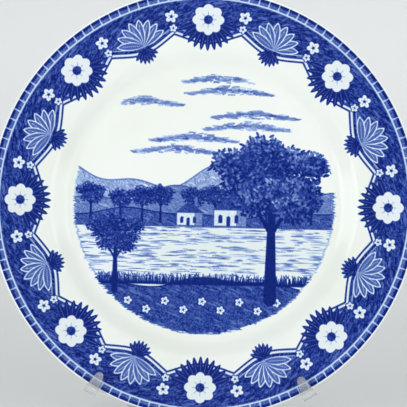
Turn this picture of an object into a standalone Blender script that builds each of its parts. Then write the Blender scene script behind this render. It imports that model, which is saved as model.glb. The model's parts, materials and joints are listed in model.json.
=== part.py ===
"""A printed souvenir plate shown on a clear folding easel, in metres, +Z up, standing on z = 0.

The plate, the crown and the front legs are modelled in the plate's own frame, which leans back with it:
X to the right, Y up the plate's face, Z straight out of the face, and the origin at the middle of the
plane that the plate's foot ring rests on. The front legs pivot about that frame's Z axis.
"""

import math

import bmesh
import bpy
from mathutils import Matrix, Vector
from mathutils.geometry import convex_hull_2d, intersect_line_line_2d

MM = 0.001

# How the display stands
LEAN = math.radians(15)
CENTRE_HEIGHT = 0.127
CENTRE_BACK = -0.02225
SPREAD = math.radians(17)
HOOK_SPREAD = math.radians(30)
STRUT_OPENING = math.radians(42)
GAP = 0.0003

# Plate
PLATE_RADIUS = 0.127
PLATE_HEIGHT = 0.0239
RIM_THICKNESS = 0.0034
WELL_RADIUS = 0.081
WELL_FLOOR = 0.0068
SHOULDER_RADIUS = 0.0915
SHOULDER_HEIGHT = 0.0134
FOOT_RING_RADIUS = 0.0751
FOOT_RING_WIDTH = 0.0036
BASE_UNDERSIDE = 0.0024
PLATE_STEPS = 72

# Front legs
LEG_THICKNESS = 0.0045
LEG_LENGTH = 0.1286
LEG_EYE_RADIUS = 0.010
LEG_END_RADIUS = 0.004
ARM_START = 0.088
ARM_HALF_WIDTH = 0.0045
UPPER_CROOK_RADIUS = 0.020
LOWER_CROOK_RADIUS = 0.003
LEDGE_RADIUS = PLATE_RADIUS + GAP
LEDGE_THICKNESS = 0.004
PRONG_REACH = 0.0105
PRONG_BACK = PLATE_HEIGHT + 0.0004
PRONG_THICKNESS = 0.0034
PRONG_TIP_RADIUS = 0.0025
LEFT_LAYER_FRONT = -GAP
RIGHT_LAYER_FRONT = LEFT_LAYER_FRONT - LEG_THICKNESS - GAP
EDGE_ROUNDING = 0.0010

# Crown: the block behind the legs, with a fork for the rear leg
CROWN_FRONT = RIGHT_LAYER_FRONT - LEG_THICKNESS - GAP
CROWN_THICKNESS = 0.0041
CROWN_BACK = CROWN_FRONT - CROWN_THICKNESS
CHEEK_THICKNESS = 0.004
CHEEK_RADIUS = 0.0065
HINGE_UP = 0.014
HINGE_BACK = -0.026
STOP_PEG_RADIUS = 0.002
STOP_PEG_DISTANCE = 0.020

# Pivot screw through both legs and the crown
SCREW_RADIUS = 0.0024
SCREW_CLEARANCE = 0.00015
SCREW_HEAD_RADIUS = 0.0046
SCREW_HEAD_DEPTH = 0.0022
WASHER_RADIUS = 0.0048
WASHER_THICKNESS = 0.0008
NUT_RADIUS = 0.0044
NUT_HEIGHT = 0.0036

# Rear leg and its hinge pin
STRUT_WIDTH = 0.012
STRUT_LENGTH = 0.1453
STRUT_KNUCKLE_RADIUS = 0.006
STRUT_END_RADIUS = 0.0025
HEEL_FRONT = 0.003
HEEL_BACK = -0.001
PIN_RADIUS = 0.002
PIN_HEAD_RADIUS = 0.0034
PIN_HEAD_THICKNESS = 0.0014
PIN_CLEARANCE = 0.00015

# Soft tips on the three feet
TIP_WALL = 0.0018
TIP_COVER = 0.0062
TIP_OVERRUN = 0.0036


def clear_scene():
    for old in list(bpy.data.objects):
        bpy.data.objects.remove(old)


def collection(name):
    made = bpy.data.collections.new(name)
    bpy.context.scene.collection.children.link(made)
    return made


def material(name, colour, roughness, metallic=0.0, alpha=1.0):
    made = bpy.data.materials.new(name)
    made.use_nodes = True
    shader = made.node_tree.nodes["Principled BSDF"]
    shader.inputs["Base Color"].default_value = (*colour, 1.0)
    shader.inputs["Roughness"].default_value = roughness
    shader.inputs["Metallic"].default_value = metallic
    shader.inputs["Alpha"].default_value = alpha
    return made


def empty(name, parent, location, rotation):
    made = bpy.data.objects.new(name, None)
    made.empty_display_size = 0.02
    made.location = location
    made.rotation_euler = rotation
    made.parent = parent
    display.objects.link(made)
    return made


def piece(obj, parent, finish):
    """Keeps a finished piece: in the display's collection, on its joint's empty, with its material."""
    display.objects.link(obj)
    obj.parent = parent
    obj.data.materials.clear()
    obj.data.materials.append(finish)
    obj.data.shade_smooth()
    return obj


def helper(obj, parent=None):
    """Keeps a cutter or a shape that only exists to be joined to a piece."""
    cutters.objects.link(obj)
    obj.parent = parent
    obj.hide_render = True
    obj.display_type = "WIRE"
    return obj


def combine(obj, other, operation):
    modifier = obj.modifiers.new(f"{operation.lower()} {other.name}", "BOOLEAN")
    modifier.operation = operation
    modifier.solver = "EXACT"
    modifier.object = other


def round_edges(obj, width=EDGE_ROUNDING, segments=2):
    modifier = obj.modifiers.new("rounded edges", "BEVEL")
    modifier.width = width
    modifier.segments = segments
    modifier.limit_method = "ANGLE"
    modifier.angle_limit = math.radians(40)


def circle(x, y, radius, points=24):
    turns = [2 * math.pi * i / points for i in range(points)]
    return [(x + radius * math.cos(a), y + radius * math.sin(a)) for a in turns]


def hull(*circles, points=24):
    """The outline of a band stretched round circles, each given as (x, y, radius)."""
    dots = [dot for c in circles for dot in circle(*c, points=points)]
    return [dots[i] for i in convex_hull_2d(dots)]


def rounded(corners, step=math.radians(18)):
    """An open or closed run of (x, y, radius) corners, with an arc in place of each corner that has a radius."""
    run = []
    for i, (x, y, radius) in enumerate(corners):
        if not radius:
            run.append((x, y))
            continue
        before, after = corners[i - 1], corners[(i + 1) % len(corners)]
        a_in = math.atan2(before[1] - y, before[0] - x)
        a_out = math.atan2(after[1] - y, after[0] - x)
        half = (a_out - a_in + math.pi) % (2 * math.pi) - math.pi
        middle = a_in + half / 2
        reach = radius / math.sin(abs(half) / 2)
        cx, cy = x + reach * math.cos(middle), y + reach * math.sin(middle)
        sweep = math.copysign(math.pi - abs(half), -half)
        start = middle + math.pi - sweep / 2
        count = max(2, math.ceil(abs(sweep) / step))
        for j in range(count + 1):
            a = start + sweep * j / count
            run.append((cx + radius * math.cos(a), cy + radius * math.sin(a)))
    return run


def slab(name, outline, low, high, hole=None):
    """A flat outline, less any hole, filled and given thickness from z = low to z = high, as a mesh object."""
    curve = bpy.data.curves.new(name, "CURVE")
    curve.dimensions = "2D"
    curve.fill_mode = "BOTH"
    curve.extrude = (high - low) / 2
    for loop in filter(None, (outline, hole)):
        spline = curve.splines.new("POLY")
        spline.points.add(len(loop) - 1)
        spline.use_cyclic_u = True
        for point, (x, y) in zip(spline.points, loop):
            point.co = (x, y, 0, 1)
    drawn = bpy.data.objects.new(name, curve)
    cutters.objects.link(drawn)
    graph = bpy.context.evaluated_depsgraph_get()
    mesh = bpy.data.meshes.new_from_object(drawn.evaluated_get(graph))
    bpy.data.objects.remove(drawn)
    mesh.transform(Matrix.Translation((0, 0, (low + high) / 2)))
    shape = bmesh.new()
    shape.from_mesh(mesh)
    bmesh.ops.remove_doubles(shape, verts=shape.verts, dist=1e-6)
    bmesh.ops.recalc_face_normals(shape, faces=shape.faces)
    shape.to_mesh(mesh)
    shape.free()
    return bpy.data.objects.new(name, mesh)


def side_slab(name, outline, low, high):
    """A slab whose outline is drawn in (y, z) and whose thickness runs from x = low to x = high."""
    made = slab(name, outline, low, high)
    made.data.transform(Matrix(((0, 0, 1, 0), (1, 0, 0, 0), (0, 1, 0, 0), (0, 0, 0, 1))))
    return made


def rod(name, radius, low, high, sides=32):
    """A cylinder along z."""
    mesh = bpy.data.meshes.new(name)
    shape = bmesh.new()
    bmesh.ops.create_cone(
        shape, cap_ends=True, segments=sides, radius1=radius, radius2=radius, depth=high - low
    )
    bmesh.ops.translate(shape, verts=shape.verts, vec=(0, 0, (low + high) / 2))
    shape.to_mesh(mesh)
    shape.free()
    return bpy.data.objects.new(name, mesh)


def along_x(obj):
    obj.data.transform(Matrix.Rotation(math.pi / 2, 4, "Y"))
    return obj


def turned(name, profile, steps, closed=False):
    """A profile of (radius, height) points, top to bottom down its outer side, turned about z."""
    mesh = bpy.data.meshes.new(name)
    shape = bmesh.new()
    dots = [shape.verts.new((radius, 0, height)) for radius, height in profile]
    for first, second in zip(dots, dots[1:]):
        shape.edges.new((first, second))
    if closed:
        shape.edges.new((dots[-1], dots[0]))
    shape.to_mesh(mesh)
    shape.free()
    made = bpy.data.objects.new(name, mesh)
    screw = made.modifiers.new("turned", "SCREW")
    screw.axis = "Z"
    screw.steps = steps
    screw.render_steps = steps
    screw.use_merge_vertices = True
    screw.merge_threshold = 1e-5
    return made


def plate(parent):
    """A shallow dinner-plate shape: flat well, curved shoulder, raised rim and a foot ring below."""
    rim_under = PLATE_HEIGHT - RIM_THICKNESS
    ring_out = FOOT_RING_RADIUS + FOOT_RING_WIDTH / 2
    ring_in = FOOT_RING_RADIUS - FOOT_RING_WIDTH / 2
    profile = rounded(
        [
            (0, WELL_FLOOR, 0),
            (WELL_RADIUS, WELL_FLOOR, 16 * MM),
            (SHOULDER_RADIUS, SHOULDER_HEIGHT, 14 * MM),
            (PLATE_RADIUS, PLATE_HEIGHT, 1.4 * MM),
            (PLATE_RADIUS, rim_under, 1.4 * MM),
            (SHOULDER_RADIUS + 2 * MM, SHOULDER_HEIGHT - 3.6 * MM, 14 * MM),
            (WELL_RADIUS + 1 * MM, BASE_UNDERSIDE + 0.4 * MM, 8 * MM),
            (ring_out + 0.4 * MM, BASE_UNDERSIDE + 0.4 * MM, 0),
            (ring_out, 0, 0.7 * MM),
            (ring_in, 0, 0.7 * MM),
            (ring_in - 0.7 * MM, BASE_UNDERSIDE, 0),
            (0, BASE_UNDERSIDE, 0),
        ]
    )
    piece(turned("plate", profile, PLATE_STEPS), parent, glaze)


def hook(name, layer_front):
    """The ledge that the rim rests on, and the prong that laps over the rim, in the hook's frame."""
    outer, inner = -LEDGE_RADIUS - LEDGE_THICKNESS, -LEDGE_RADIUS
    front = PRONG_BACK + PRONG_THICKNESS
    side = rounded(
        [
            (outer, layer_front - LEG_THICKNESS, 0),
            (outer, front, 3 * MM),
            (inner + PRONG_REACH, front, 1.2 * MM),
            (inner + PRONG_REACH, PRONG_BACK, 1.2 * MM),
            (inner, PRONG_BACK, 0.6 * MM),
            (inner, layer_front + 0.4 * MM, 0),
            (inner + 6 * MM, layer_front - 0.2 * MM, 0),
            (inner + 6 * MM, layer_front - LEG_THICKNESS, 0),
        ]
    )
    made = helper(side_slab(f"{name} hook", side, -STRUT_WIDTH, STRUT_WIDTH))
    tip = (0, inner + PRONG_REACH - PRONG_TIP_RADIUS, PRONG_TIP_RADIUS)
    base = (0, outer, ARM_HALF_WIDTH)
    front_view = hull(tip, base, (0, outer - 5 * MM, ARM_HALF_WIDTH), points=32)
    taper = helper(slab(f"{name} hook taper", front_view, -0.02, 0.04), made)
    combine(made, taper, "INTERSECT")
    return made


def leg_half_width(distance):
    """Half the leg's width at a distance down from its pivot, along its straight flanks."""
    slope = (LEG_EYE_RADIUS - LEG_END_RADIUS) / (LEG_LENGTH + LEG_EYE_RADIUS + LEG_END_RADIUS)
    return LEG_EYE_RADIUS - slope * (distance + LEG_EYE_RADIUS)


def leg_outline(side):
    """A tapered bar with an eye at its top and an arm that branches off to the hook; side is -1 on the left."""
    top = Vector((side * LEG_EYE_RADIUS, LEG_EYE_RADIUS))
    bottom = Vector((side * LEG_END_RADIUS, -LEG_LENGTH - LEG_END_RADIUS))
    turn = side * (HOOK_SPREAD - SPREAD)
    start = Vector((0, -ARM_START))
    end = Vector((math.sin(turn), -math.cos(turn))) * (LEDGE_RADIUS - ARM_HALF_WIDTH)
    along = (end - start).normalized()
    end += along * ARM_HALF_WIDTH
    up = Vector((-along.y, along.x)) * side * ARM_HALF_WIDTH
    upper_crook = intersect_line_line_2d(top, bottom, start + up, end + up)
    lower_crook = intersect_line_line_2d(top, bottom, start - up, end - up)
    return rounded(
        [
            (-top.x, top.y, LEG_EYE_RADIUS),
            (*top, LEG_EYE_RADIUS),
            (*upper_crook, UPPER_CROOK_RADIUS),
            (*(end + up), ARM_HALF_WIDTH),
            (*(end - up), ARM_HALF_WIDTH),
            (*lower_crook, LOWER_CROOK_RADIUS),
            (*bottom, LEG_END_RADIUS),
            (-bottom.x, bottom.y, LEG_END_RADIUS),
        ],
        step=math.radians(12),
    )


def front_leg(name, parent, layer_front, side):
    """A flat branched bar with an eye round the pivot screw, a foot, and a hook at the end of its arm."""
    outline = leg_outline(side)
    leg = piece(slab(name, outline, layer_front - LEG_THICKNESS, layer_front), parent, acrylic)
    hooked = hook(name, layer_front)
    hooked.parent = parent
    hooked.rotation_euler = (0, 0, side * (HOOK_SPREAD - SPREAD))
    combine(leg, hooked, "UNION")
    round_edges(leg)
    combine(leg, helper(screw_hole(f"{name} eye"), parent), "DIFFERENCE")


def screw_hole(name):
    """The pivot screw's bore, with the countersink for its head."""
    top, bottom = LEFT_LAYER_FRONT + 1 * MM, RIGHT_LAYER_FRONT - 2 * LEG_THICKNESS
    wide, bore = SCREW_HEAD_RADIUS + 2 * GAP, SCREW_RADIUS + SCREW_CLEARANCE
    slope = (SCREW_HEAD_RADIUS - SCREW_RADIUS) / SCREW_HEAD_DEPTH
    neck = LEFT_LAYER_FRONT - (wide - bore) / slope
    profile = [
        (0, top),
        (wide, top),
        (wide, LEFT_LAYER_FRONT),
        (bore, neck),
        (bore, bottom),
        (0, bottom),
    ]
    return turned(name, profile, 32)


def crown(parent):
    """The clear block that joins the legs: a shield-shaped plate, two stop pegs and the rear leg's fork."""
    pegs = [peg_centre(side) for side in (-1, 1)]
    outline = hull(
        (0, HINGE_UP, 16 * MM),
        (0, 0, 12 * MM),
        *((x, y, 2.2 * STOP_PEG_RADIUS) for x, y in pegs),
        points=32,
    )
    bore = circle(0, 0, SCREW_RADIUS + SCREW_CLEARANCE)
    block = piece(slab("crown", outline, CROWN_BACK, CROWN_FRONT, bore), parent, acrylic)
    cheek = hull(
        (HINGE_UP, HINGE_BACK, CHEEK_RADIUS),
        (HINGE_UP - 10 * MM, CROWN_BACK + 1.6 * MM, 1 * MM),
        (HINGE_UP + 10 * MM, CROWN_BACK + 1.6 * MM, 1 * MM),
        points=32,
    )
    inner = STRUT_WIDTH / 2 + GAP
    for side in (-1, 1):
        low, high = sorted((side * inner, side * (inner + CHEEK_THICKNESS)))
        combine(block, helper(side_slab(f"cheek {side}", cheek, low, high), parent), "UNION")
    for x, y in pegs:
        peg = helper(rod("stop peg", STOP_PEG_RADIUS, CROWN_BACK + 1 * MM, -2 * GAP), parent)
        peg.location = (x, y, 0)
        combine(block, peg, "UNION")
    pin_hole = along_x(rod("pin hole", PIN_RADIUS + PIN_CLEARANCE, -0.02, 0.02))
    helper(pin_hole, parent).location = (0, HINGE_UP, HINGE_BACK)
    combine(block, pin_hole, "DIFFERENCE")
    round_edges(block, 0.4 * MM)


def peg_centre(side):
    """Where a stop peg stands, so that a leg at full spread rests against it; side is -1 on the left."""
    off = leg_half_width(STOP_PEG_DISTANCE) + GAP + STOP_PEG_RADIUS
    along, across = STOP_PEG_DISTANCE, off
    x = along * math.sin(SPREAD) + across * math.cos(SPREAD)
    y = -along * math.cos(SPREAD) + across * math.sin(SPREAD)
    return side * x, y


def pivot_screw(parent):
    """A countersunk screw, its head just below the front leg's face."""
    top = LEFT_LAYER_FRONT - 0.3 * MM
    neck = top - SCREW_HEAD_DEPTH
    end = CROWN_BACK - WASHER_THICKNESS - NUT_HEIGHT - 0.5 * MM
    profile = rounded(
        [
            (0, top, 0),
            (SCREW_HEAD_RADIUS, top, 0.2 * MM),
            (SCREW_RADIUS, neck, 0),
            (SCREW_RADIUS, end, 0.4 * MM),
            (0, end, 0),
        ]
    )
    piece(turned("pivot_screw", profile, 32), parent, steel)


def pivot_washer(parent):
    top = CROWN_BACK - GAP / 2
    bottom = top - WASHER_THICKNESS
    inner = SCREW_RADIUS + SCREW_CLEARANCE
    ring = [(inner, top), (WASHER_RADIUS, top), (WASHER_RADIUS, bottom), (inner, bottom)]
    piece(turned("pivot_washer", ring, 32, closed=True), parent, steel)


def pivot_nut(parent):
    """A hexagon nut on the screw, behind the washer."""
    top = CROWN_BACK - WASHER_THICKNESS - GAP
    hexagon = circle(0, 0, NUT_RADIUS / math.cos(math.pi / 6), points=6)
    bore = circle(0, 0, SCREW_RADIUS + SCREW_CLEARANCE, points=32)
    nut = piece(slab("pivot_nut", hexagon, top - NUT_HEIGHT, top, bore), parent, steel)
    round_edges(nut, 0.3 * MM, segments=1)


def hinge_pin(parent):
    """A headed pin through the fork and the rear leg's knuckle."""
    half = STRUT_WIDTH / 2 + GAP + CHEEK_THICKNESS
    head_low = half + GAP
    profile = rounded(
        [
            (0, head_low + PIN_HEAD_THICKNESS, 0),
            (PIN_HEAD_RADIUS, head_low + PIN_HEAD_THICKNESS, 0.6 * MM),
            (PIN_HEAD_RADIUS, head_low, 0),
            (PIN_RADIUS, head_low, 0),
            (PIN_RADIUS, -half - 2 * MM, 0.3 * MM),
            (0, -half - 2 * MM, 0),
        ]
    )
    made = piece(turned("hinge_pin", profile, 32), parent, steel)
    made.rotation_euler = (0, math.pi / 2, 0)


def hinge_pin_cap(parent):
    """The press-on cap that keeps the pin in."""
    half = STRUT_WIDTH / 2 + GAP + CHEEK_THICKNESS
    inner = PIN_RADIUS + PIN_CLEARANCE
    cap = rounded(
        [
            (0, half + 3.2 * MM, 0),
            (PIN_HEAD_RADIUS, half + 3.2 * MM, 1 * MM),
            (PIN_HEAD_RADIUS, half + GAP, 0.2 * MM),
            (inner, half + GAP, 0),
            (inner, half + 2.2 * MM, 0),
            (0, half + 2.2 * MM, 0),
        ]
    )
    made = piece(turned("hinge_pin_cap", cap, 32), parent, steel)
    made.rotation_euler = (0, -math.pi / 2, 0)


def rear_leg(parent):
    """A strut that tapers from its knuckle, with a heel above the hinge that stops on the crown."""
    side = hull((0, 0, STRUT_KNUCKLE_RADIUS), (-STRUT_LENGTH, 0, STRUT_END_RADIUS), points=32)
    half = STRUT_WIDTH / 2
    strut = piece(side_slab("rear_leg", side, -half, half), parent, acrylic)
    reach = CROWN_BACK - HINGE_BACK - GAP
    slope = 1 / math.tan(STRUT_OPENING)
    rise = reach / math.sin(STRUT_OPENING)
    heel = [
        (0, HEEL_BACK),
        (0, HEEL_FRONT),
        (rise - HEEL_FRONT * slope, HEEL_FRONT),
        (rise - HEEL_BACK * slope, HEEL_BACK),
    ]
    stop = helper(side_slab("heel", heel, -half + 0.2 * MM, half - 0.2 * MM), parent)
    combine(strut, stop, "UNION")
    hole = along_x(rod("knuckle hole", PIN_RADIUS + PIN_CLEARANCE, -0.02, 0.02))
    combine(strut, helper(hole, parent), "DIFFERENCE")
    round_edges(strut, 0.4 * MM)


def foot_tip(name, parent, make, outlines, foot):
    """A soft tip: its outside, less a pocket round the foot, which spans foot = (low, high), and the floor."""
    outside, pocket = outlines
    low, high = foot
    tip = piece(make(name, outside, low - TIP_WALL, high + TIP_WALL), parent, vinyl)
    round_edges(tip, 0.7 * MM)
    socket = helper(make(f"{name} socket", pocket, low - GAP, high + GAP), parent)
    combine(tip, socket, "DIFFERENCE")
    combine(tip, floor_cutter, "DIFFERENCE")


def front_foot_tip(name, parent, layer_front):
    """The tip of a front leg, drawn in the leg's face."""
    start = -LEG_LENGTH + TIP_COVER
    width = leg_half_width(-start)
    outside = hull(
        (-width - TIP_WALL / 2, start, TIP_WALL / 2),
        (width + TIP_WALL / 2, start, TIP_WALL / 2),
        (0, -LEG_LENGTH - TIP_OVERRUN, LEG_END_RADIUS + TIP_WALL),
        points=32,
    )
    pocket = hull(
        (0, start + 2 * TIP_COVER, width + 2 * GAP),
        (0, -LEG_LENGTH, LEG_END_RADIUS + GAP),
        points=32,
    )
    foot_tip(name, parent, slab, (outside, pocket), (layer_front - LEG_THICKNESS, layer_front))


def rear_foot_tip(parent):
    """The tip of the rear leg, drawn in the leg's side."""
    start = -STRUT_LENGTH + TIP_COVER
    slope = (STRUT_KNUCKLE_RADIUS - STRUT_END_RADIUS) / STRUT_LENGTH
    half = STRUT_END_RADIUS + slope * TIP_COVER
    outside = hull(
        (start, -half - TIP_WALL / 2, TIP_WALL / 2),
        (start, half + TIP_WALL / 2, TIP_WALL / 2),
        (-STRUT_LENGTH - TIP_OVERRUN, 0, STRUT_END_RADIUS + TIP_WALL),
        points=32,
    )
    pocket = hull(
        (start + 2 * TIP_COVER, 0, half + slope * 2 * TIP_COVER + GAP),
        (-STRUT_LENGTH, 0, STRUT_END_RADIUS + GAP),
        points=32,
    )
    width = (-STRUT_WIDTH / 2, STRUT_WIDTH / 2)
    foot_tip("rear_foot_tip", parent, side_slab, (outside, pocket), width)


clear_scene()
display = collection("souvenir_plate_on_easel")
cutters = collection("cutters")

glaze = material("blue printed glaze", (0.62, 0.68, 0.84), 0.12)
acrylic = material("clear acrylic", (0.93, 0.95, 0.96), 0.05, alpha=0.35)
vinyl = material("clear soft vinyl", (0.88, 0.90, 0.91), 0.35, alpha=0.5)
steel = material("stainless steel", (0.60, 0.61, 0.62), 0.28, metallic=1.0)

tilt = empty("tilt", None, (0, CENTRE_BACK, CENTRE_HEIGHT), (math.pi / 2 - LEAN, 0, 0))
left_pivot = empty("left leg pivot", tilt, (0, 0, 0), (0, 0, -SPREAD))
right_pivot = empty("right leg pivot", tilt, (0, 0, 0), (0, 0, SPREAD))
rear_hinge = empty("rear leg hinge", tilt, (0, HINGE_UP, HINGE_BACK), (STRUT_OPENING, 0, 0))
pin_line = empty("hinge pin line", tilt, (0, HINGE_UP, HINGE_BACK), (0, 0, 0))

square = [(-0.2, -0.2), (0.2, -0.2), (0.2, 0.2), (-0.2, 0.2)]
floor_cutter = helper(slab("floor", square, -0.05, 0))

plate(tilt)
front_leg("left_leg", left_pivot, LEFT_LAYER_FRONT, -1)
front_leg("right_leg", right_pivot, RIGHT_LAYER_FRONT, 1)
front_foot_tip("left_foot_tip", left_pivot, LEFT_LAYER_FRONT)
front_foot_tip("right_foot_tip", right_pivot, RIGHT_LAYER_FRONT)
crown(tilt)
pivot_screw(tilt)
pivot_washer(tilt)
pivot_nut(tilt)
hinge_pin(pin_line)
hinge_pin_cap(pin_line)
rear_leg(rear_hinge)
rear_foot_tip(rear_hinge)
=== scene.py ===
"""The looks of a printed souvenir plate on a clear folding easel, in a pale studio.

The print is drawn here stroke by stroke as a density of ink, kept on the plate's vertices.
"""

import json
import math

import bpy
import numpy as np
from mathutils import Matrix, Vector


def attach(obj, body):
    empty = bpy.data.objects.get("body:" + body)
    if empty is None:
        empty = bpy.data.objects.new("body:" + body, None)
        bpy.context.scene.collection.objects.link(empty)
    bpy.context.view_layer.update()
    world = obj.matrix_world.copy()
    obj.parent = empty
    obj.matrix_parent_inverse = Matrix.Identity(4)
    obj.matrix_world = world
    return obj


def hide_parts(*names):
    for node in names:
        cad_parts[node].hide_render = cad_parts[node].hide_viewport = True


# Plate, in millimetres. A corner of its section is its radius, height above the foot's rest, and rounding.
RIM_RADIUS = 127.0
FRONT = [(0, 6.8, 0), (81, 6.8, 16), (91.5, 13.4, 14), (127, 23.9, 1.4), (127, 20.5, 1.4)]
FOOT = [(77.3, 2.8, 0.3), (76.9, 0, 0.7), (73.3, 0, 0.7), (72.6, 2.4, 0.3)]
BACK = [(93.5, 9.8, 14), (82, 2.8, 8), *FOOT, (0, 2.4, 0)]
FRONT_GRAIN = 0.42
BACK_GRAIN = 2.2
FOOT_RING = (72.8, 77.4)

# Print, in millimetres from the plate's middle. The radii of its zones follow the photograph.
PICTURE_EDGE = 77.4
WELL_EDGE = 80.0
BORDER_STEP = 1.85  # millimetres of the border's sheet for each degree, true at a radius of 106 mm
ARCH_TOP = 103.0
ARCH_DROP = 7.0
BLOCKS_START = 121.0
BLOCKS_END = 126.1
REPEATS = 8
BLOCKS_IN_REPEAT = 16
HALF_REPEAT = 180 / REPEATS * BORDER_STEP
PRINT_EDGE = 126.0

# Camera, in metres from the plate's foot plane. Its roll, aim and lens come from measuring the photograph.
VIEW = 1.2
RIM_PLANE = 0.0235
CAMERA_ROLL = math.radians(1.3)
RIM_IN_PICTURE = 0.52703  # the rim's radius as a share of the picture's width, measured on the photograph
AIM = (-0.0004, 0.0001)

# Colours, as screen values from 0 to 255. The inks began as averages of the photograph's blues and were tuned.
INKS = [
    (0.0, (246, 249, 245)),
    (0.08, (211, 227, 247)),
    (0.2, (168, 190, 233)),
    (0.36, (118, 143, 203)),
    (0.52, (89, 114, 186)),
    (0.68, (53, 79, 165)),
    (0.84, (20, 44, 135)),
    (1.0, (2, 18, 98)),
]
PAPER = (202, 204, 205)


# ---------------------------------------------------------------- drawing


class Sheet:
    """A sheet of ink, 0 for bare glaze to 1 for the darkest blue, drawn on in millimetres with y up."""

    def __init__(self, left, bottom, right, top, cell=0.2):
        self.left, self.bottom, self.cell = left, bottom, cell
        self.x = np.arange(left + cell / 2, right, cell)
        self.y = np.arange(bottom + cell / 2, top, cell)
        self.ink = np.zeros((len(self.y), len(self.x)), np.float32)
        self.open = np.ones_like(self.ink)
        noise = np.random.default_rng(7).random(self.ink.shape).astype(np.float32)
        self.speckle = spread(noise, 1, 1)
        self.streak = spread(noise, 12, 1)

    def window(self, low, high):
        """The cells inside a box: their rows, their columns, and their x and y."""
        c0, c1 = (int((v - self.left) / self.cell) for v in (low[0], high[0]))
        r0, r1 = (int((v - self.bottom) / self.cell) for v in (low[1], high[1]))
        rows = slice(max(r0 - 1, 0), max(min(r1 + 3, len(self.y)), 0))
        cols = slice(max(c0 - 1, 0), max(min(c1 + 3, len(self.x)), 0))
        return rows, cols, self.x[cols][None, :], self.y[rows][:, None]

    def lay(self, rows, cols, cover, tone, grain=0.0):
        """Lays ink of one tone where cover is 1 and the sheet is open. Grain speckles it."""
        part = self.ink[rows, cols]
        if grain:
            tone = tone + grain * self.speckle[rows, cols]
        part += (tone - part) * cover * self.open[rows, cols]

    def within(self, points):
        """The rows and columns round a closed outline, and which of their cells are inside it."""
        dots = np.asarray(points, float)
        rows, cols, x, y = self.window(dots.min(0), dots.max(0))
        inside = np.zeros((y.size, x.size), bool)
        for (x0, y0), (x1, y1) in zip(dots, np.roll(dots, -1, axis=0)):
            if y0 != y1:
                level = (y0 > y) != (y1 > y)
                inside ^= level & (x < (x1 - x0) * (y - y0) / (y1 - y0) + x0)
        return rows, cols, inside

    def polygon(self, points, tone, grain=0.0):
        """A filled outline."""
        rows, cols, inside = self.within(points)
        self.lay(rows, cols, inside, tone, grain)

    def scored(self, points, tone, rng, count, tones, slope=0.0, half=2.8):
        """A filled outline with short strokes of other tones inside it, along a slope."""
        rows, cols, inside = self.within(points)
        self.lay(rows, cols, inside, tone, 0.09)
        before = self.open
        self.open = np.zeros_like(before)
        self.open[rows, cols] = before[rows, cols] * inside
        low, high = np.min(points, axis=0), np.max(points, axis=0)
        for _ in range(count):
            x, y = rng.uniform(low, high)
            reach = half * rng.uniform(0.5, 1.2)
            run = through((x - reach, y - reach * slope), (x, y + 0.4), (x + reach, y + reach * slope))
            self.stroke(run, (0.2, 0.9 * rng.uniform(0.6, 1.3), 0.2), rng.choice(tones))
        self.open = before

    def stroke(self, points, width, tone):
        """A line through the points. Its width is one number, or several spaced evenly along it."""
        dots = np.asarray(points, float)
        widths = np.broadcast_to(np.asarray(width, float), (np.size(width),))
        widths = np.interp(np.linspace(0, 1, len(dots)), np.linspace(0, 1, len(widths)), widths)
        for a, b, wa, wb in zip(dots, dots[1:], widths, widths[1:]):
            half = max(wa, wb) / 2
            rows, cols, x, y = self.window(np.minimum(a, b) - half, np.maximum(a, b) + half)
            along = b - a
            t = ((x - a[0]) * along[0] + (y - a[1]) * along[1]) / max(along @ along, 1e-9)
            t = np.clip(t, 0, 1)
            away = np.hypot(x - a[0] - t * along[0], y - a[1] - t * along[1])
            cover = np.clip((wa + (wb - wa) * t) / (2 * self.cell) - away / self.cell + 0.5, 0, 1)
            self.lay(rows, cols, cover, tone)

    def oval(self, x, y, rx, ry, tone, turn=0.0, grain=0.0):
        """A filled oval, turned anticlockwise."""
        reach = max(rx, ry)
        rows, cols, gx, gy = self.window((x - reach, y - reach), (x + reach, y + reach))
        u = (gx - x) * math.cos(turn) + (gy - y) * math.sin(turn)
        v = (gy - y) * math.cos(turn) - (gx - x) * math.sin(turn)
        away = (np.hypot(u / rx, v / ry) - 1) * min(rx, ry)
        self.lay(rows, cols, np.clip(0.5 - away / self.cell, 0, 1), tone, grain)

    def leaf(self, x, y, turn, length, width, tone, vein=None):
        """A pointed leaf from its stalk end, with a lighter line down its middle if vein is a tone."""
        tip = (x + length * math.cos(turn), y + length * math.sin(turn))
        low = (min(x, tip[0]) - width / 2, min(y, tip[1]) - width / 2)
        high = (max(x, tip[0]) + width / 2, max(y, tip[1]) + width / 2)
        rows, cols, gx, gy = self.window(low, high)
        u = ((gx - x) * math.cos(turn) + (gy - y) * math.sin(turn)) / length
        v = (gy - y) * math.cos(turn) - (gx - x) * math.sin(turn)
        half = width / 2 * np.clip(4 * u * (1 - u), 0, 1) ** 0.7
        self.lay(rows, cols, np.clip((half - abs(v)) / self.cell + 0.5, 0, 1) * (half > 0), tone)
        if vein is not None:
            inner = np.array([[x, y], tip]) * 0.85 + 0.15 * np.array([[x, y], tip])[::-1]
            self.stroke(inner, 0.3, vein)

    def sample(self, x, y):
        """The ink at points, read between the cells' centres."""
        u = np.clip((x - self.x[0]) / self.cell, 0, len(self.x) - 1.001)
        v = np.clip((y - self.y[0]) / self.cell, 0, len(self.y) - 1.001)
        i, j = u.astype(int), v.astype(int)
        u, v = u - i, v - j
        low = self.ink[j, i] * (1 - u) + self.ink[j, i + 1] * u
        high = self.ink[j + 1, i] * (1 - u) + self.ink[j + 1, i + 1] * u
        return low * (1 - v) + high * v


def spread(noise, across, up):
    """Noise smoothed over a few cells and brought to a mean of 0 and a deviation of 1."""
    for axis, reach in ((1, across), (0, up)):
        total = noise.copy()
        for step in range(1, reach + 1):
            total += np.roll(noise, step, axis) + np.roll(noise, -step, axis)
        noise = total
    return (noise - noise.mean()) / noise.std()


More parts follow.
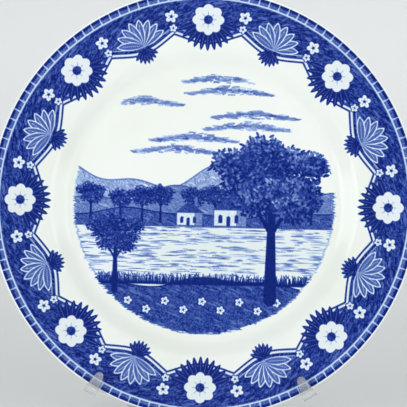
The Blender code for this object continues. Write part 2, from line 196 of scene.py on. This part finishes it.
def through(*points, per=7):
    """A smooth run through a few points, by Catmull-Rom."""
    dots = np.array([points[0], *points, points[-1]], float)
    t = np.linspace(0, 1, per, endpoint=False)[:, None]
    run = []
    for a, b, c, d in zip(dots, dots[1:], dots[2:], dots[3:]):
        bend = 2 * a - 5 * b + 4 * c - d
        run.append(b + (c - a) / 2 * t + bend / 2 * t**2 + (3 * b - a - 3 * c + d) / 2 * t**3)
    return np.concatenate([*run, dots[-1:]])


# ---------------------------------------------------------------- plants


def blossom(sheet, x, y, radius, petals=5, edge=0.9):
    """A white open flower with a dark edge and heart, and a fine line up each petal."""
    for grow, tone in ((0.45, edge), (0.0, 0.03)):
        for k in range(petals):
            a = 2 * math.pi * k / petals
            px, py = x + 0.55 * radius * math.cos(a), y + 0.55 * radius * math.sin(a)
            sheet.oval(px, py, 0.46 * radius + grow, 0.36 * radius + grow, tone, a)
    for k in range(petals):
        a = 2 * math.pi * k / petals
        sheet.stroke([(x, y), (x + 0.5 * radius * math.cos(a), y + 0.5 * radius * math.sin(a))], 0.25, 0.45)
    sheet.oval(x, y, 0.2 * radius, 0.2 * radius, 0.95)


def foliage(sheet, rng, x, y, rx, ry, leaf, dark):
    """A mass of small leaves in an oval, paler along its top, with leaves that stand out all round."""
    sheet.oval(x, y, rx * 0.8, ry * 0.76, dark - 0.06, grain=0.1)
    rim = int(7.6 * (rx + ry) / leaf)
    for k in range(rim):
        a = 2 * math.pi * (k + rng.random()) / rim
        far = rng.uniform(0.66, 1.02)
        u, v = rx * far * math.cos(a), ry * far * math.sin(a)
        way = math.atan2(v, u) + rng.normal(0, 0.6)
        tone = dark - 0.22 * rng.random() * (v > 0)
        sheet.leaf(x + u, y + v, way, leaf * rng.uniform(0.7, 1.3), leaf * 0.52, tone)
    for _ in range(int(1.3 * rx * ry)):
        a, far = 2 * math.pi * rng.random(), 0.9 * math.sqrt(rng.random())
        u, v = rx * far * math.cos(a), ry * far * math.sin(a)
        shade = min(0.36 + 0.6 * rng.random() - 0.2 * v / ry + 0.1 * u / rx, 0.98)
        way = rng.uniform(0.2, 2.8)
        sheet.leaf(x + u, y + v, way, leaf * 0.85, leaf * 0.42, shade)


def grass(sheet, rng, points, height, tone, every=0.7):
    """Blades standing up along a line."""
    run = through(*points, per=12)
    length = np.hypot(*np.diff(run, axis=0).T).sum()
    for spot in np.linspace(0, 1, int(length / every)):
        x, y = (np.interp(spot * (len(run) - 1), np.arange(len(run)), run[:, i]) for i in (0, 1))
        tall = height * rng.uniform(0.5, 1)
        way = rng.normal(0, 0.25)
        top = (x + tall * way, y + tall)
        sheet.stroke(through((x, y - 1), (x + 0.3 * tall * way, y + 0.55 * tall), top), (0.55, 0.2), tone)


# ---------------------------------------------------------------- buildings


def block(sheet, x0, x1, y0, y1, tone=0.06, shade=0.35, dark=0.0):
    """An upright wall with a thin outline, darker along its right side by the width of shade."""
    corners = [(x0, y0), (x1, y0), (x1, y1), (x0, y1)]
    sheet.polygon(corners, tone, grain=0.03)
    if dark:
        side = [(x1 - dark, y0), (x1, y0), (x1, y1), (x1 - dark, y1)]
        sheet.polygon(side, shade, grain=0.06)
    sheet.stroke([*corners, corners[0]], 0.35, max(0.55, tone))


def opening(sheet, x, y0, y1, width, tone):
    """A round-headed window or door."""
    half = width / 2
    sheet.polygon([(x - half, y0), (x + half, y0), (x + half, y1 - half), (x - half, y1 - half)], tone)
    sheet.oval(x, y1 - half, half, half * 1.15, tone)


# ---------------------------------------------------------------- the scene in the well


def cloud(sheet, rng, spine, widths, tone):
    """A brushed cloud: short level strokes scattered about a line, paler towards its edges."""
    run = through(*spine, per=14)
    widths = np.interp(np.linspace(0, 1, len(run)), np.linspace(0, 1, len(widths)), widths)
    length = np.hypot(*np.diff(run, axis=0).T).sum()
    for (x, y), width in zip(run[::3], widths[::3]):
        sheet.oval(x, y, 2.2, 0.36 * width, 0.2, grain=0.08)
    for _ in range(int(1.9 * length * widths.mean() ** 0.8)):
        k = rng.integers(len(run))
        off = np.clip(rng.normal(0, 0.3), -0.55, 0.55)
        x, y = run[k] + (rng.normal(0, 0.8), off * widths[k])
        half = rng.uniform(0.5, 2.0)
        shade = np.clip(tone + rng.normal(0, 0.13) - 0.45 * abs(off), 0.16, 0.85)
        sheet.stroke([(x - half, y), (x + half, y + rng.normal(0, 0.25))], rng.uniform(0.35, 0.9), shade)


def ridge(sheet, rng, height, swing, phase, tone):
    """A line of hills across the sheet, with strokes down its slopes."""
    x = np.linspace(-WELL_EDGE, WELL_EDGE, 60)
    y = height + swing * np.sin(x / 17 + phase) + 0.5 * swing * np.sin(x / 7.3 + 2 * phase)
    line = list(zip(x, y))
    outline = [*line, (WELL_EDGE, -WELL_EDGE), (-WELL_EDGE, -WELL_EDGE)]
    sheet.scored(outline, tone, rng, 420, (tone - 0.22, tone - 0.1, tone + 0.14), -0.4, half=2.6)
    sheet.stroke(line, 0.6, min(tone + 0.3, 0.95))


def tree(sheet, rng, x, y, tall):
    """A round-headed tree, its crown a spiral of leaf masses."""
    sheet.stroke([(x, y), (x, y + 0.7 * tall)], (0.08 * tall, 0.03 * tall), 0.92)
    for side in (-1, 1):
        bough = [(x, y + 0.4 * tall), (x + side * 0.17 * tall, y + 0.68 * tall)]
        sheet.stroke(bough, (0.03 * tall, 0.01 * tall), 0.92)
    for k in range(11):
        turn = 2.4 * k
        far = 0.3 * tall * math.sqrt(k / 11)
        spot = (x + far * math.cos(turn), y + 0.76 * tall + 0.75 * far * math.sin(turn))
        foliage(sheet, rng, *spot, 0.13 * tall, 0.085 * tall, leaf=max(1.3, 0.028 * tall), dark=0.9)


def house(sheet, x, y, wide):
    """A plain gabled house with a door, two windows and a chimney."""
    block(sheet, x, x + wide, y, y + 0.5 * wide, tone=0.06, shade=0.4, dark=0.3 * wide)
    block(sheet, x + 0.7 * wide, x + 0.8 * wide, y + 0.6 * wide, y + 1.1 * wide, tone=0.5)
    eaves = y + 0.5 * wide
    roof = [(x - 1, eaves), (x + wide + 1, eaves), (x + 0.5 * wide, eaves + 0.45 * wide)]
    sheet.polygon(roof, 0.75, grain=0.08)
    for share, foot, head in ((0.2, 0.1, 0.34), (0.45, 0.0, 0.3), (0.7, 0.1, 0.34)):
        opening(sheet, x + share * wide, y + foot * wide, y + head * wide, 0.12 * wide, 0.85)


def lake(sheet, rng, top, bottom):
    """Still water: level ripples on bare glaze."""
    sheet.polygon([(-WELL_EDGE, top), (WELL_EDGE, top), (WELL_EDGE, bottom), (-WELL_EDGE, bottom)], 0.03)
    for _ in range(520):
        x, y = rng.uniform(-WELL_EDGE, WELL_EDGE), bottom + (top - bottom) * rng.random() ** 0.7
        half = rng.uniform(1.6, 6)
        widths = (0.15, rng.uniform(0.3, 0.7), 0.15)
        sheet.stroke([(x - half, y), (x, y + 0.1), (x + half, y)], widths, rng.uniform(0.3, 0.66))


def paint_scene(sheet):
    """A plain lake landscape in the plate's well, back to front."""
    rng = np.random.default_rng(20)
    far = np.hypot(sheet.x[None, :], sheet.y[:, None]) + 0.5 * sheet.streak
    sheet.open = np.clip((PICTURE_EDGE - far) / 1.2, 0, 1).astype(np.float32)
    for y in range(30, 75, 7):
        x = rng.uniform(-40, 40)
        cloud(sheet, rng, ((x - 24, y), (x, y + 2.5), (x + 24, y)), (1, 5, 1), 0.5)
    for height, swing, phase, tone in ((16, 6, 0.4, 0.28), (5, 4, 2.1, 0.46), (-6, 2, 4.0, 0.68)):
        ridge(sheet, rng, height, swing, phase, tone)
    for x in range(-68, 71, 15):
        tree(sheet, rng, x + rng.uniform(-4, 4), -11, rng.uniform(15, 26))
    for x, wide in ((-16, 15), (6, 19)):
        house(sheet, x, -13, wide)
    lake(sheet, rng, -14, -50)
    ridge(sheet, rng, -47, 2.5, 1.0, 0.74)
    grass(sheet, rng, ((-70, -47), (0, -47), (70, -47)), 6, 0.92, every=0.4)
    for k in range(9):
        blossom(sheet, -44 + 11 * k, -58 - 5 * (k % 2), 2.6)
    tree(sheet, rng, 40, -56, 96)
    tree(sheet, rng, -52, -52, 46)


# ---------------------------------------------------------------- the border


def flower(sheet, x0):
    """An open flower with dark leaves fanned out under it."""
    for turn in np.radians(range(195, 346, 15)):
        sheet.leaf(x0 + 7 * math.cos(turn), 109 + 7 * math.sin(turn), turn, 11.5, 3.2, 0.93, 0.5)
    blossom(sheet, x0, 109, 9.2, petals=8, edge=0.95)
    sheet.oval(x0, 109, 2.6, 2.6, 0.85, grain=0.1)


def leaf_fan(sheet, x0):
    """A fan of pale leaves standing on the border's inner edge, with dark ones hanging from it."""
    for turn in np.radians(range(20, 161, 20)):
        sheet.leaf(x0, 100, turn, 16, 5.2, 0.03)
        sheet.leaf(x0, 100, turn, 15, 3.8, 0.62, 0.04)
    for turn in np.radians(range(210, 331, 20)):
        sheet.leaf(x0, 98, turn, 9, 2.6, 0.92, 0.5)


def blocks(sheet):
    """The row of small blocks at the edge, darker outside, parted by white lines over a white line."""
    pitch = 2 * HALF_REPEAT / BLOCKS_IN_REPEAT
    low, high = sheet.left, sheet.x[-1]
    for inner, outer, tone, grain in ((BLOCKS_START, BLOCKS_END, 0.94, 0.05), (122.0, 124.0, 0.6, 0.09)):
        sheet.polygon([(low, inner), (high, inner), (high, outer), (low, outer)], tone, grain)
    sheet.stroke([(low, 121.5), (high, 121.5)], 0.95, 0.06)
    for k in range(math.ceil(low / pitch), math.ceil(high / pitch)):
        sheet.stroke([(k * pitch, 121.6), (k * pitch, 125.8)], (0.9, 0.5), 0.1)


def paint_border(sheet):
    """One repeat of the border with enough on each side to join the next, with the flower at x = 0."""
    rng = np.random.default_rng(5)
    x = np.linspace(sheet.left, sheet.x[-1], 240)
    arches = ARCH_TOP - ARCH_DROP * np.abs(np.cos(math.pi * x / HALF_REPEAT))
    ground = [*zip(x, arches), (x[-1], BLOCKS_START + 0.2), (x[0], BLOCKS_START + 0.2)]
    sheet.scored(ground, 0.8, rng, 900, (0.55, 0.66, 0.95, 0.98), 0.4, half=1.6)
    for rise, width, tone in ((0.0, 2.8, 0.92), (0.3, 1.4, 0.04), (3.4, 0.6, 0.2)):
        sheet.stroke(list(zip(x, arches + rise)), width, tone)
    for n in (-1, 1):
        leaf_fan(sheet, n * HALF_REPEAT)
        for y, radius in ((112.5, 3.8), (105.5, 2.4)):
            blossom(sheet, 0.5 * n * HALF_REPEAT, y, radius)
    flower(sheet, 0)
    blocks(sheet)


def border_place(x, y):
    """Where a point of the plate falls on the sheet of one repeat."""
    turn = np.degrees(np.arctan2(x, y))
    repeat = 360 / REPEATS
    return ((turn + repeat / 2) % repeat - repeat / 2) * BORDER_STEP, np.hypot(x, y)


# ---------------------------------------------------------------- the plate


def rounded(corners):
    """A section with each corner's arc in steps of 6 degrees or less, as an array of radius and height."""
    points = []
    for (x0, y0, _), (x, y, radius), (x1, y1, _) in zip(corners, corners[1:], corners[2:]):
        a = np.array([x0 - x, y0 - y], float)
        b = np.array([x1 - x, y1 - y], float)
        a /= np.hypot(*a)
        b /= np.hypot(*b)
        half = math.acos(np.clip(a @ b, -1, 1)) / 2
        if radius == 0:
            points.append((x, y))
            continue
        centre = (a + b) / np.hypot(*(a + b)) * radius / math.sin(half)
        start = a * radius / math.tan(half) - centre
        sweep = math.copysign(math.pi - 2 * half, a[0] * b[1] - a[1] * b[0])
        for t in np.linspace(0, 1, max(2, math.ceil(abs(math.degrees(sweep)) / 6) + 1)):
            c, s = math.cos(-sweep * t), math.sin(-sweep * t)
            spot = centre + (start[0] * c - start[1] * s, start[0] * s + start[1] * c)
            points.append((x + spot[0], y + spot[1]))
    return np.array([corners[0][:2], *points, corners[-1][:2]], float)


def evened(section, gap):
    """The section again, with a point every gap along its long stretches."""
    points = [section[0]]
    for a, b in zip(section, section[1:]):
        steps = max(1, round(np.hypot(*(b - a)) / gap))
        points += [a + (b - a) * k / steps for k in range(1, steps + 1)]
    return np.array(points)


def ring_count(radius, gap):
    """How many points a ring has: 15 doubled until they are no further apart than gap."""
    return 15 * 2 ** max(0, math.ceil(math.log2(max(2 * math.pi * radius / gap / 15, 1))))


def turned(section, gaps):
    """Points and faces of the section turned about its axis, with fewer points on the small rings."""
    counts = [1]
    for (radius, _), gap in zip(section[1:-1], gaps[1:-1]):
        wanted = ring_count(radius, gap)
        counts.append(wanted if counts[-1] == 1 else min(max(wanted, counts[-1] // 2), counts[-1] * 2))
    counts.append(1)
    starts = np.cumsum([0, *counts])
    points = []
    for (radius, height), count in zip(section, counts):
        turns = np.arange(count) * 2 * math.pi / count
        level = np.full(count, height)
        points.append(np.stack([radius * np.sin(turns), radius * np.cos(turns), level], axis=1))
    faces = []
    for low, high, n, m in zip(starts, starts[1:], counts, counts[1:]):
        faces += strip(low, high, n, m)
    return np.concatenate(points), faces


def strip(low, high, n, m):
    """The faces between two rings that start at points low and high and have n and m points."""
    k = np.arange(max(n, m))
    after = (k + 1) % len(k)
    if n == m:
        return [np.stack([low + k, high + k, high + after, low + after], axis=1)]
    if n == 1:
        return [np.stack([np.full(m, low), high + k, high + after], axis=1)]
    if m == 1:
        return [np.stack([low + k, np.full(n, high), low + after], axis=1)]
    if n > m:
        return [faces[:, ::-1] for faces in strip(high, low, m, n)]
    coarse = np.arange(n)
    nxt = (coarse + 1) % n
    a, b, c = high + 2 * coarse, high + 2 * coarse + 1, high + (2 * coarse + 2) % m
    wide = np.stack([low + coarse, b, low + nxt], axis=1)
    return [np.stack([low + coarse, a, b], axis=1), wide, np.stack([low + nxt, b, c], axis=1)]


def mesh_object(name, points, faces):
    """A smooth mesh object from an array of points and arrays of faces."""
    mesh = bpy.data.meshes.new(name)
    mesh.vertices.add(len(points))
    mesh.vertices.foreach_set("co", points.astype(np.float32).ravel())
    corners = np.concatenate([f.ravel() for f in faces]).astype(np.int32)
    sizes = np.concatenate([np.full(len(f), f.shape[1]) for f in faces])
    mesh.loops.add(len(corners))
    mesh.loops.foreach_set("vertex_index", corners)
    mesh.polygons.add(len(sizes))
    mesh.polygons.foreach_set("loop_start", np.concatenate([[0], np.cumsum(sizes)[:-1]]).astype(np.int32))
    mesh.update(calc_edges=True)
    mesh.validate()
    mesh.shade_smooth()
    obj = bpy.data.objects.new(name, mesh)
    bpy.context.scene.collection.objects.link(obj)
    return obj


def keep_value(mesh, name, values):
    """Keeps one number for each of the mesh's points."""
    mesh.attributes.new(name, "FLOAT", "POINT").data.foreach_set("value", values.astype(np.float32))


def printed_ink(points, front):
    """The ink at each of the plate's points, as drawn for an eye straight in front of it."""
    seen = (VIEW - RIM_PLANE) / (VIEW - points[:, 2] / 1000)
    x, y = points[:, 0] * seen, points[:, 1] * seen
    scene = Sheet(-WELL_EDGE, -WELL_EDGE, WELL_EDGE, WELL_EDGE)
    paint_scene(scene)
    border = Sheet(-1.5 * HALF_REPEAT, 78, 1.5 * HALF_REPEAT, 129)
    paint_border(border)
    across, radius = border_place(x, y)
    ink = np.where(np.hypot(x, y) < WELL_EDGE, scene.sample(x, y), border.sample(across, radius))
    edge = np.clip((PRINT_EDGE - np.hypot(points[:, 0], points[:, 1])) / 0.4, 0, 1)
    return ink * edge * front


def plate_object(frame):
    """The plate: one turned body, fine on its printed face."""
    front = evened(rounded([*FRONT, BACK[0]])[:-1], FRONT_GRAIN)
    back = evened(rounded([FRONT[-1], *BACK])[1:], BACK_GRAIN)
    section = np.concatenate([front, back])
    gaps = np.where(np.arange(len(section)) < len(front) - 8, FRONT_GRAIN, BACK_GRAIN)
    points, faces = turned(section, gaps)
    local = points.copy()
    top = plate_height(section[: len(front)], np.hypot(points[:, 0], points[:, 1]))
    on_front = points[:, 2] > top - 0.3
    axis, centre = plate_axis(frame)
    right = Vector((1, 0, 0))
    up = axis.cross(right)
    place = np.array([right, up, axis])
    obj = mesh_object("printed_plate", points / 1000 @ place + np.array(centre), faces)
    keep_value(obj.data, "ink", printed_ink(local, on_front))
    radius = np.hypot(local[:, 0], local[:, 1])
    bare = (radius > FOOT_RING[0]) & (radius < FOOT_RING[1]) & (local[:, 2] < 0.5)
    keep_value(obj.data, "bare", bare)
    return obj


def plate_height(front, radius):
    """The height of the plate's face at a radius."""
    return np.interp(radius, front[:-4, 0], front[:-4, 1])


def plate_axis(frame):
    """The way the plate faces and the middle of its foot plane, from the legs' pivot line."""
    joint = next(j for j in frame["joints"] if j["name"] == "left_leg_swing")
    return Vector(joint["axis"]).normalized(), Vector(joint["pos_m"])


# ---------------------------------------------------------------- materials


def linear(red, green, blue):
    """A colour given as screen values from 0 to 255, as Blender's linear colour."""
    values = [v / 255 for v in (red, green, blue)]
    return (*[v / 12.92 if v <= 0.04045 else ((v + 0.055) / 1.055) ** 2.4 for v in values], 1)


def new_material(name):
    """A material with its nodes, a maker of more nodes, and its Principled shader."""
    material = bpy.data.materials.new(name)
    material.use_nodes = True
    tree = material.node_tree

    def node(kind, **values):
        made = tree.nodes.new(kind)
        for key, value in values.items():
            if key in made.inputs:
                made.inputs[key].default_value = value
            else:
                setattr(made, key, value)
        return made

    return material, tree.links, node, tree.nodes["Principled BSDF"]


def ramp(node, stops):
    """A colour ramp with these stops of position and colour."""
    made = node("ShaderNodeValToRGB")
    elements = made.color_ramp.elements
    while len(elements) < len(stops):
        elements.new(0.5)
    for element, (position, colour) in zip(elements, stops):
        element.position = position
        element.color = colour
    return made


def bump(links, node, shader, height, strength, distance):
    """Fine relief on the shader from a height."""
    made = node("ShaderNodeBump", Strength=strength, Distance=distance)
    links.new(height, made.inputs["Height"])
    links.new(made.outputs["Normal"], shader.inputs["Normal"])


def printed_glaze():
    """Blue ink under a clear glaze, on a white body that is left bare on the foot ring."""
    material, links, node, shader = new_material("printed_glaze")
    place = node("ShaderNodeTexCoord").outputs["Object"]
    ink = node("ShaderNodeAttribute", attribute_name="ink")
    mottle = node("ShaderNodeTexNoise", Scale=900.0, Detail=3.0, Roughness=0.7)
    links.new(place, mottle.inputs["Vector"])
    uneven = node("ShaderNodeMapRange")
    links.new(mottle.outputs["Fac"], uneven.inputs["Value"])
    uneven.inputs["From Min"].default_value = 0.25
    uneven.inputs["From Max"].default_value = 0.75
    uneven.inputs["To Min"].default_value = 0.9
    uneven.inputs["To Max"].default_value = 1.06
    laid = node("ShaderNodeMath", operation="MULTIPLY", use_clamp=True)
    links.new(ink.outputs["Fac"], laid.inputs[0])
    links.new(uneven.outputs["Result"], laid.inputs[1])
    inks = ramp(node, [(tone, linear(*colour)) for tone, colour in INKS])
    links.new(laid.outputs["Value"], inks.inputs["Fac"])
    cloud = node("ShaderNodeTexNoise", Scale=14.0, Detail=2.0)
    links.new(place, cloud.inputs["Vector"])
    tint = ramp(node, [(0.35, linear(250, 252, 247)), (0.65, linear(255, 255, 255))])
    links.new(cloud.outputs["Fac"], tint.inputs["Fac"])
    glazed = node("ShaderNodeMix", data_type="RGBA", blend_type="MULTIPLY")
    glazed.inputs["Factor"].default_value = 1.0
    links.new(inks.outputs["Color"], glazed.inputs["A"])
    links.new(tint.outputs["Color"], glazed.inputs["B"])
    bare = node("ShaderNodeAttribute", attribute_name="bare")
    biscuit = ramp(node, [(0.3, linear(226, 216, 196)), (0.7, linear(198, 184, 160))])
    links.new(mottle.outputs["Fac"], biscuit.inputs["Fac"])
    body = node("ShaderNodeMix", data_type="RGBA")
    links.new(bare.outputs["Fac"], body.inputs["Factor"])
    links.new(glazed.outputs["Result"], body.inputs["A"])
    links.new(biscuit.outputs["Color"], body.inputs["B"])
    links.new(body.outputs["Result"], shader.inputs["Base Color"])
    dry = node("ShaderNodeMapRange")
    links.new(bare.outputs["Fac"], dry.inputs["Value"])
    dry.inputs["To Min"].default_value = 0.14
    dry.inputs["To Max"].default_value = 0.85
    links.new(dry.outputs["Result"], shader.inputs["Roughness"])
    shader.inputs["Specular IOR Level"].default_value = 0.2
    ripple = node("ShaderNodeTexNoise", Scale=160.0, Detail=1.0)
    links.new(place, ripple.inputs["Vector"])
    bump(links, node, shader, ripple.outputs["Fac"], 0.12, 0.0004)
    return material


def clear_plastic(name, colour, roughness, ior, grain):
    """A clear plastic with faint flow marks, handling haze and a slightly milky body."""
    material, links, node, shader = new_material(name)
    place = node("ShaderNodeTexCoord").outputs["Object"]
    flow = node("ShaderNodeTexNoise", Scale=grain, Detail=3.0, Roughness=0.6)
    links.new(place, flow.inputs["Vector"])
    haze = node("ShaderNodeMapRange")
    links.new(flow.outputs["Fac"], haze.inputs["Value"])
    haze.inputs["To Min"].default_value = roughness * 0.6
    haze.inputs["To Max"].default_value = roughness * 1.6
    links.new(haze.outputs["Result"], shader.inputs["Roughness"])
    bump(links, node, shader, flow.outputs["Fac"], 0.15, 0.0003)
    shader.inputs["Base Color"].default_value = linear(*colour)
    shader.inputs["IOR"].default_value = ior
    shader.inputs["Transmission Weight"].default_value = 0.8
    return material


def brushed_steel():
    """Plated steel with a fine turned grain."""
    material, links, node, shader = new_material("brushed_steel")
    place = node("ShaderNodeTexCoord").outputs["Object"]
    squeeze = node("ShaderNodeMapping", Scale=(400.0, 3000.0, 3000.0))
    links.new(place, squeeze.inputs["Vector"])
    grain = node("ShaderNodeTexNoise", Scale=1.0, Detail=2.0)
    links.new(squeeze.outputs["Vector"], grain.inputs["Vector"])
    tone = ramp(node, [(0.3, linear(172, 174, 177)), (0.7, linear(214, 216, 218))])
    links.new(grain.outputs["Fac"], tone.inputs["Fac"])
    links.new(tone.outputs["Color"], shader.inputs["Base Color"])
    worn = node("ShaderNodeMapRange")
    links.new(grain.outputs["Fac"], worn.inputs["Value"])
    worn.inputs["To Min"].default_value = 0.2
    worn.inputs["To Max"].default_value = 0.42
    links.new(worn.outputs["Result"], shader.inputs["Roughness"])
    bump(links, node, shader, grain.outputs["Fac"], 0.1, 0.0001)
    shader.inputs["Metallic"].default_value = 1.0
    return material


def paint_stand(frame):
    """Gives each piece of the easel its finish, by the slots listed here, clear acrylic where none is listed.
    """
    finishes = {
        "clear_acrylic": clear_plastic("clear_acrylic", (247, 250, 251), 0.05, 1.49, 60.0),
        "clear_vinyl": clear_plastic("clear_vinyl", (236, 240, 242), 0.4, 1.5, 900.0),
        "steel": brushed_steel(),
    }
    slots = {
        "pivot_screw": "steel", "pivot_washer": "steel", "pivot_nut": "steel", "hinge_pin": "steel",
        "hinge_pin_cap": "steel", "left_foot_tip": "clear_vinyl", "right_foot_tip": "clear_vinyl",
        "rear_foot_tip": "clear_vinyl",
    }
    for name, obj in frame["nodes"].items():
        slot = slots.get(name, "clear_acrylic")
        if name == "plate":
            continue
        obj.data.materials.clear()
        obj.data.materials.append(finishes[slot])


# ---------------------------------------------------------------- studio


def area_light(name, spot, target, size, power):
    """A round soft light that isn't itself seen."""
    data = bpy.data.lights.new(name, "AREA")
    data.shape = "DISK"
    data.size = size
    data.energy = power
    light = bpy.data.objects.new(name, data)
    light.location = spot
    light.visible_camera = False
    light.rotation_euler = (Vector(target) - Vector(spot)).to_track_quat("-Z", "Y").to_euler()
    bpy.context.scene.collection.objects.link(light)


def floor_object():
    """A pale floor that curves up into a wall all round."""
    bend = [(2.6 + 0.9 * math.sin(a), 0, 0.9 - 0.9 * math.cos(a)) for a in np.radians(np.arange(0, 91, 10))]
    line = [(0, 0, 0), *bend, (3.5, 0, 2.4)]
    mesh = bpy.data.meshes.new("studio_floor")
    mesh.from_pydata(line, [(k, k + 1) for k in range(len(line) - 1)], [])
    floor = bpy.data.objects.new("studio_floor", mesh)
    bpy.context.scene.collection.objects.link(floor)
    screw = floor.modifiers.new("turn", "SCREW")
    screw.steps = 96
    screw.render_steps = 96
    screw.use_merge_vertices = True
    screw.merge_threshold = 0.0001
    material, links, node, shader = new_material("studio_paper")
    place = node("ShaderNodeTexCoord").outputs["Object"]
    tooth = node("ShaderNodeTexNoise", Scale=700.0, Detail=2.0)
    links.new(place, tooth.inputs["Vector"])
    tone = ramp(node, [(0.3, linear(*PAPER)), (0.7, linear(*[v + 1 for v in PAPER]))])
    links.new(tooth.outputs["Fac"], tone.inputs["Fac"])
    links.new(tone.outputs["Color"], shader.inputs["Base Color"])
    shader.inputs["Roughness"].default_value = 0.9
    shader.inputs["Specular IOR Level"].default_value = 0.2
    floor.data.materials.append(material)
    return floor


def light_studio():
    """An even pale surround, with a soft light on each side and one on the floor behind."""
    world = bpy.data.worlds.new("studio_air")
    world.use_nodes = True
    air = world.node_tree.nodes["Background"]
    air.inputs["Color"].default_value = (0.97, 1.0, 1.0, 1)
    air.inputs["Strength"].default_value = 0.45
    bpy.context.scene.world = world
    area_light("left", (-1.7, -1.4, 0.42), (0, 0, 0.12), 1.3, 28)
    area_light("right", (1.7, -1.4, 0.42), (0, 0, 0.12), 1.3, 24)
    area_light("back", (0.2, 1.0, 2.2), (0, 2.4, 0.1), 1.6, 48)


def camera_in_front(frame):
    """A long lens straight in front of the plate, that fits its rim a little beyond the picture."""
    axis, centre = plate_axis(frame)
    right = Matrix.Rotation(CAMERA_ROLL, 3, axis) @ Vector((1, 0, 0))
    up = axis.cross(right)
    data = bpy.data.cameras.new("camera")
    data.sensor_width = 36
    data.lens = 36 * RIM_IN_PICTURE * (VIEW - RIM_PLANE) / (RIM_RADIUS / 1000)
    camera = bpy.data.objects.new("camera", data)
    camera.matrix_world = Matrix.Translation(centre + axis * VIEW + right * AIM[0] + up * AIM[1]) @ Matrix(
        (right, up, axis)
    ).transposed().to_4x4()
    bpy.context.scene.collection.objects.link(camera)
    bpy.context.scene.camera = camera


# ---------------------------------------------------------------- scene

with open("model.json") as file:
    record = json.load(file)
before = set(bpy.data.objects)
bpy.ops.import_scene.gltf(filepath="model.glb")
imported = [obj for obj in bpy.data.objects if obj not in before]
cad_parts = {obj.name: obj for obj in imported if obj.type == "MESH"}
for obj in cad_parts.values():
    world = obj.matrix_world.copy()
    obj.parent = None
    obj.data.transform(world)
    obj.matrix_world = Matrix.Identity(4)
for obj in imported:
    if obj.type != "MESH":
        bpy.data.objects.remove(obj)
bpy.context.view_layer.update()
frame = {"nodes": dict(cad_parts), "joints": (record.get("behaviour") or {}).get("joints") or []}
plate = plate_object(frame)
plate.data.materials.append(printed_glaze())
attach(plate, "plate")
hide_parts("plate")
paint_stand(frame)
floor_object()
light_studio()
camera_in_front(frame)
bpy.context.scene.view_settings.view_transform = "Standard"
